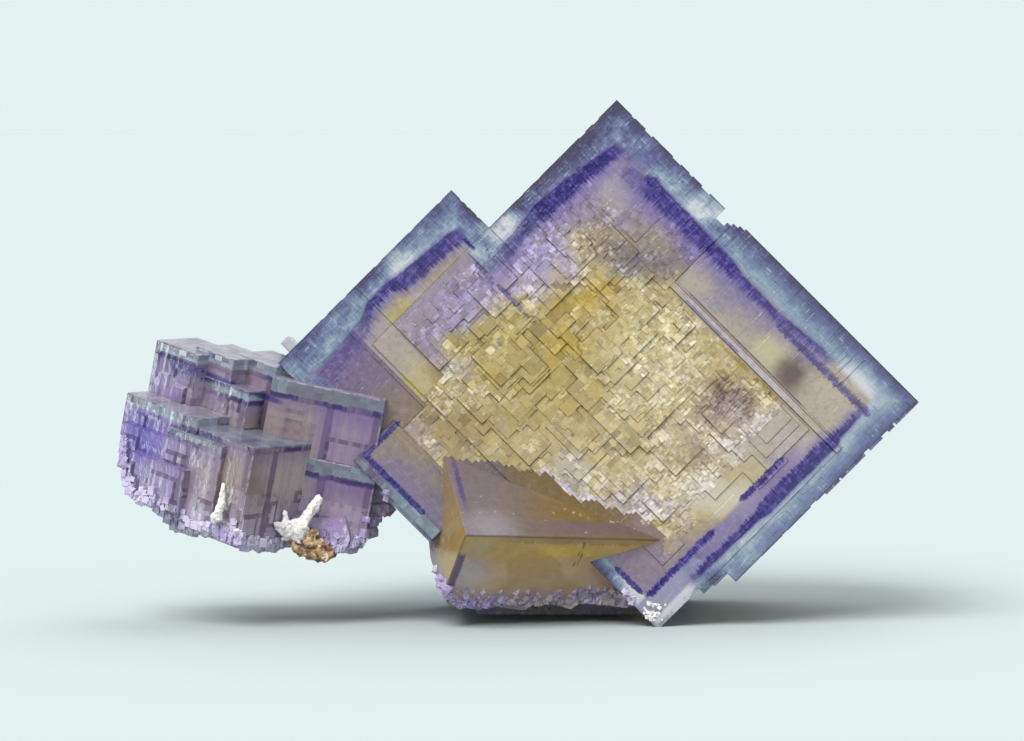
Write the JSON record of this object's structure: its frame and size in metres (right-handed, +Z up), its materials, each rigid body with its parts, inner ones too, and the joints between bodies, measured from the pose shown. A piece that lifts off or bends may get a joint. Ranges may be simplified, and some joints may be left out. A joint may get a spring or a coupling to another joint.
{
  "type": "fluorite crystal cluster",
  "caption": "Cluster of intergrown colour-zoned cubic fluorite crystals with a twin corner, stepped cubes on one side, white growths and an ochre crust, cut flat to stand.",
  "frame": {"origin": "centre of the bounding box at the level of the flat cut the specimen rests on", "axes": "+X to the right along the longest extent, with the left group of cubes at -X; +Y away from the large cube's front face; +Z up"},
  "size_m": [0.1208, 0.063, 0.079],
  "materials": {
    "fluorite": "clear to frosted crystal, blue rims, purple zone lines and a yellow core",
    "white_growth": "matt white",
    "crust": "earthy ochre brown"
  },
  "bodies": {
    "root": {"fluorite_cluster": "fluorite", "white_sprig_left": "white_growth", "white_sprig_right": "white_growth", "ochre_crust": "crust"}
  },
  "joints": []
}
